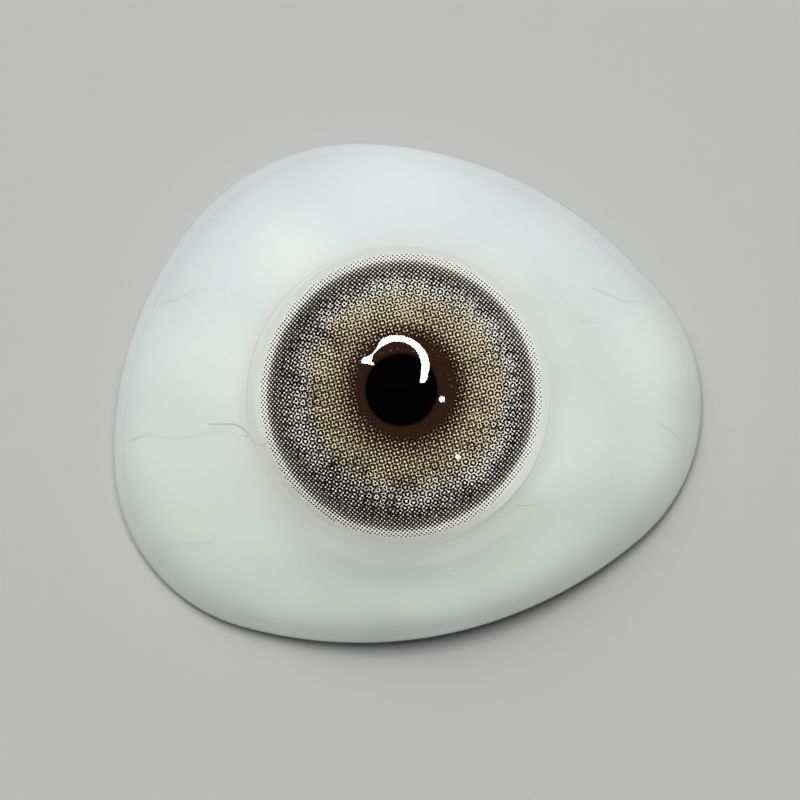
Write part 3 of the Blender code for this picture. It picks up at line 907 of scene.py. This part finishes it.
def iris_print():
    """Film printed with three overlapping dot screens, dark at the rim and round the pupil, with painted
    shade on its clear margin towards the lower side.
    """
    graph = Graph("iris_print")
    place = graph.vector("MULTIPLY", graph.place(IRIS_AXIS_X, IRIS_AXIS_Y), (1.0, 1.0, 0.0))
    radius = graph.vector("LENGTH", place)
    spoke = graph.vector("NORMALIZE", place)
    lean = graph.vector("DOT_PRODUCT", spoke, (*PALE_WAY, 0.0))
    body = graph.math("MULTIPLY", graph.step(radius, *STREAKS_FADE_IN),
                      graph.step(radius, *STREAKS_FADE_OUT))
    broad = streaks(graph, spoke, radius, *BROAD_STREAKS[:3])
    ragged = graph.math("MULTIPLY", graph.math("MULTIPLY", broad, EDGE_RAGGEDNESS), body)
    drawn = drawn_radius(graph, place, radius, spoke, ragged)
    tone = print_tone(graph, spoke, radius, body, broad, lean)
    covers = ink_covers(graph, place, drawn, tone, lean)
    warmth = graph.math("MULTIPLY", graph.step(radius, *WARMTH_FADE_IN),
                        graph.step(radius, *WARMTH_FADE_OUT))
    tinted = graph.math("ADD", drawn, graph.math("MULTIPLY", lean, warmth))
    colour = graph.ramp(tinted, PRINT_TOP, PAPER_STOPS)
    screens = ((BLACK_SCREEN, BLACK_INK), (BROWN_SCREEN, BROWN_INK), (GREY_SCREEN, GREY_INK))
    for cover, (screen, ink) in zip(covers, screens):
        colour = graph.mix(dot_screen(graph, place, cover, screen), colour, ink, "MULTIPLY")
    # Painted shade: the film's clear margin is darker towards SHADED_WAY.
    side = graph.vector("DOT_PRODUCT", spoke, (*SHADED_WAY, 0.0))
    shade = graph.math("MULTIPLY", graph.step(radius, *MARGIN_STEP), graph.step(side, *MARGIN_SIDE_STEP))
    colour = graph.mix(shade, colour, MARGIN_SHADE, "MULTIPLY")
    pupil = ((PUPIL_X - IRIS_AXIS_X) * MILLIMETRES, (PUPIL_Y - IRIS_AXIS_Y) * MILLIMETRES, 0.0)
    gap = graph.vector("LENGTH", graph.vector("SUBTRACT", place, pupil))
    colour = graph.mix(graph.step(gap, *PUPIL_EDGE_STEP), colour, BLACK_INK)
    colour = film_seam(graph, place, colour)
    graph.set(Base_Color=colour, Roughness=0.5, Specular_IOR_Level=0.0)
    return graph.material


def pupil_black():
    """Matt black film with the faintest grain."""
    graph = Graph("pupil_black")
    place = graph.place()
    grain = graph.noise(place, *PUPIL_NOISE)
    colour = graph.mix(graph.step(grain, -0.5, 0.5), PUPIL_DARK, PUPIL_PALE)
    graph.set(Base_Color=colour, Roughness=0.5, Specular_IOR_Level=0.0)
    return graph.material


def clear_acrylic():
    """Polished clear acrylic, with the low waves that hand polishing leaves.

    The coat over the cornea strengthens the lamps' mirror images there, which then show less grain.
    """
    graph = Graph("clear_acrylic")
    place = graph.place()
    flat = graph.vector("MULTIPLY", graph.place(IRIS_AXIS_X, IRIS_AXIS_Y), (1.0, 1.0, 0.0))
    coat = graph.step(graph.vector("LENGTH", flat), *COAT_STEP)
    roughness = graph.step(graph.noise(place, *CLEAR_ROUGHNESS_NOISE), *CLEAR_ROUGHNESS_STEP)
    graph.set(Base_Color=(1.0, 1.0, 1.0, 1.0), Roughness=roughness, Transmission_Weight=1.0,
              IOR=ACRYLIC_IOR, Coat_Weight=coat, Coat_Roughness=0.0, Coat_IOR=COAT_IOR)
    graph.bump(graph.noise(place, *CLEAR_WAVE_NOISE), *CLEAR_WAVE_BUMP)
    return graph.material


def fibre(name, pale, dark):
    """Fine thread whose colour comes and goes along it."""
    graph = Graph(name)
    place = graph.place()
    along = graph.noise(place, *THREAD_ALONG_NOISE)
    twist = graph.noise(place, *THREAD_TWIST_NOISE)
    colour = graph.mix(graph.step(along, *THREAD_ALONG_STEP), pale, dark)
    colour = graph.mix(graph.step(twist, *THREAD_TWIST_STEP), colour, pale)
    graph.set(Base_Color=colour, Roughness=0.6, Specular_IOR_Level=0.2)
    return graph.material


def lamp_place(x, y, eye):
    """Where a lamp stands whose mirror image in the outer face lies at x, y from the iris axis."""
    meridian = Meridian(math.atan2(y, x))
    radius = math.hypot(x, y)
    height, gradient = meridian.outer(radius)
    normal = Vector((gradient * x / radius, gradient * y / radius, 1.0)).normalized()
    point = Vector((IRIS_AXIS_X + x, IRIS_AXIS_Y + y, height))
    sight = (eye - point).normalized()
    away = 2 * normal.dot(sight) * normal - sight
    return point + away * (LAMP_HEIGHT - point.z) / away.z


def ring_edges(degrees):
    """Inner and outer radius of the ring lamp's mirror image in a direction."""
    for (start, inner, outer), (end, inner_end, outer_end) in zip(LAMP_STATIONS, LAMP_STATIONS[1:]):
        if degrees <= end:
            share = (degrees - start) / (end - start)
            return inner + (inner_end - inner) * share, outer + (outer_end - outer) * share
    return LAMP_STATIONS[-1][1:]


def studio_lamps(eye):
    """A part ring lamp and three small round ones. Gives the level that they light the shell to."""
    shape = bmesh.new()
    strip = []
    for degrees in range(LAMP_STATIONS[0][0], LAMP_STATIONS[-1][0] + 1, LAMP_STEP):
        unit_x = math.cos(math.radians(degrees))
        unit_y = math.sin(math.radians(degrees))
        places = [lamp_place(LAMP_IMAGE_X + edge * unit_x, LAMP_IMAGE_Y + edge * unit_y, eye)
                  for edge in ring_edges(degrees)]
        strip.append([shape.verts.new(place) for place in places])
    for (inner, outer), (inner_next, outer_next) in zip(strip, strip[1:]):
        shape.faces.new((inner, inner_next, outer_next, outer))
    for x, y, radius in SPOT_IMAGES:
        corners = []
        for side in range(SPOT_SIDES):
            angle = FULL_TURN * side / SPOT_SIDES
            corners.append(lamp_place(x + radius * math.cos(angle), y + radius * math.sin(angle), eye))
        shape.faces.new([shape.verts.new(corner) for corner in reversed(corners)])
    shape.normal_update()
    lit = 0.0
    for face in shape.faces:
        middle = face.calc_center_median()
        lit += face.calc_area() * (middle.z / middle.length) ** 2 / middle.length_squared
    mesh = bpy.data.meshes.new("studio_lamps")
    shape.to_mesh(mesh)
    shape.free()
    lamps = bpy.data.objects.new("studio_lamps", mesh)
    bpy.context.collection.objects.link(lamps)
    material = bpy.data.materials.new("lamp_light")
    material.use_nodes = True
    tree = material.node_tree
    tree.nodes.remove(tree.nodes["Principled BSDF"])
    glow = tree.nodes.new("ShaderNodeEmission")
    glow.inputs["Color"].default_value = (*LAMP_COLOUR, 1.0)
    glow.inputs["Strength"].default_value = LAMP_RADIANCE
    tree.links.new(glow.outputs["Emission"], tree.nodes["Material Output"].inputs["Surface"])
    mesh.materials.append(material)
    lamps.visible_camera = False
    lamps.visible_shadow = False
    lamps.visible_transmission = False
    return LAMP_RADIANCE * lit / math.pi


def soft_lamp(name, place, size, level):
    """A square lamp that faces the shell and lights it to a level, unseen in the polish."""
    place = Vector(place)
    data = bpy.data.lights.new(name, "AREA")
    data.size = size
    data.energy = level * math.pi ** 2 * place.length ** 3 / place.z
    data.color = SOFT_LAMP_COLOUR
    lamp = bpy.data.objects.new(name, data)
    lamp.location = place
    lamp.rotation_euler = place.to_track_quat("Z", "Y").to_euler()
    lamp.visible_glossy = False
    bpy.context.collection.objects.link(lamp)


def studio_world():
    """Dim overhead and pale at the horizon, so that the cornea mirrors no more than the lamps."""
    world = bpy.data.worlds.new("studio")
    world.use_nodes = True
    bpy.context.scene.world = world
    tree = world.node_tree
    background = tree.nodes["Background"]
    background.inputs["Color"].default_value = (*WORLD_COLOUR, 1.0)
    direction = tree.nodes.new("ShaderNodeTexCoord").outputs["Generated"]
    split = tree.nodes.new("ShaderNodeSeparateXYZ")
    tree.links.new(direction, split.inputs["Vector"])
    level = tree.nodes.new("ShaderNodeMapRange")
    level.interpolation_type = "SMOOTHSTEP"
    level.inputs["From Min"].default_value = 0.0
    level.inputs["From Max"].default_value = FADED_AT
    level.inputs["To Min"].default_value = HORIZON_LEVEL
    level.inputs["To Max"].default_value = OVERHEAD_LEVEL
    tree.links.new(split.outputs["Z"], level.inputs["Value"])
    tree.links.new(level.outputs["Result"], background.inputs["Strength"])


def studio_floor():
    """A plain pale square under the shell."""
    mesh = bpy.data.meshes.new("floor")
    near, far = -FLOOR_HALF_WIDTH, FLOOR_HALF_WIDTH
    mesh.from_pydata([(near, near, 0), (far, near, 0), (far, far, 0), (near, far, 0)], [], [(0, 1, 2, 3)])
    floor = bpy.data.objects.new("floor", mesh)
    bpy.context.collection.objects.link(floor)
    graph = Graph("floor")
    graph.set(Base_Color=(*FLOOR_COLOUR, 1.0), Roughness=0.9, Specular_IOR_Level=0.2)
    mesh.materials.append(graph.material)


def add_camera():
    """Looks straight down, with the view's width met at the level of the rim. Gives its place."""
    data = bpy.data.cameras.new("camera")
    data.sensor_width = SENSOR_WIDTH
    data.lens = SENSOR_WIDTH * (CAMERA_HEIGHT - VIEW_LEVEL) / VIEW_WIDTH
    data.clip_start, data.clip_end = CAMERA_CLIP
    camera = bpy.data.objects.new("camera", data)
    camera.location = (VIEW_CENTRE_X, VIEW_CENTRE_Y, CAMERA_HEIGHT)
    bpy.context.collection.objects.link(camera)
    bpy.context.scene.camera = camera
    return camera.location.copy()


def build():
    eye = add_camera()
    bpy.context.scene.view_settings.view_transform = "Standard"
    mirrored = studio_lamps(eye)
    soft_lamp("key", lamp_place(LAMP_IMAGE_X, LAMP_IMAGE_Y, eye), KEY_SIZE, KEY_LEVEL - mirrored)
    soft_lamp("fill", FILL_PLACE, FILL_SIZE, FILL_LEVEL)
    studio_world()
    studio_floor()
    white = loft(white_section, FILM_LOW.z, VAULT_HEIGHT)
    mark_bare(white)
    shown("white_shell", white, white_acrylic(), "scleral_body")
    cap = loft(clear_section, TOTAL_HEIGHT, FILM_LOW.z - CLEAR_SINK)
    add_bubbles(cap)
    clear = shown("clear_cap", cap, clear_acrylic(), "clear_front")
    clear.visible_shadow = False
    clear.visible_diffuse = False
    for node, material in (("iris_film", iris_print()), ("pupil_disc", pupil_black())):
        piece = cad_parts[node]
        piece.data.materials.clear()
        piece.data.materials.append(material)
    faint = fibre("vein_fibre", *VEIN_COLOURS)
    dark = fibre("hair_fibre", *HAIR_COLOURS)
    for number, points in enumerate(THREAD_ROUTES, start=1):
        vein(number, points, dark if number == DARK_HAIR else faint)


build()
